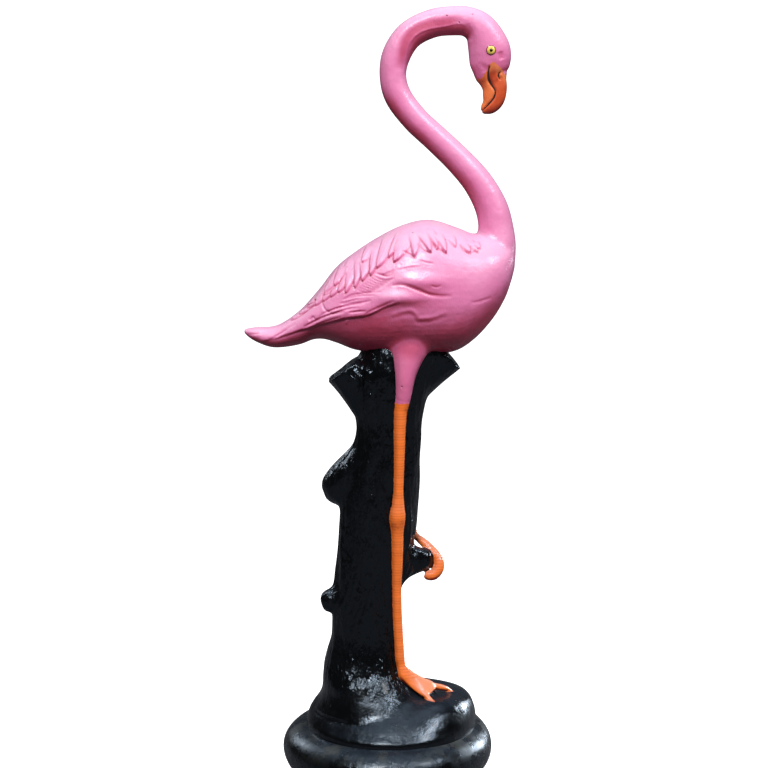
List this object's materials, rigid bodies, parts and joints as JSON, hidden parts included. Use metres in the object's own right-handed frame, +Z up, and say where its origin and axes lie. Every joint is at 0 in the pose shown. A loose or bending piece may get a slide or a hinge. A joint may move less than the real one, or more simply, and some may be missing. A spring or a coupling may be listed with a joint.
{
  "type": "garden flamingo sculpture",
  "caption": "Painted cast flamingo standing on one leg against a tree stump, on a round stepped base.",
  "frame": {"origin": "centre of the base's underside", "axes": "+X the way the bird faces, +Y to its left side, +Z up the sculpture"},
  "size_m": [0.3135, 0.25, 0.8991],
  "materials": {
    "painted_stone": "glossy brushed enamel: pink bird, orange legs and beak, black stump and base"
  },
  "bodies": {
    "root": {"flamingo_casting": "painted_stone"}
  },
  "joints": []
}
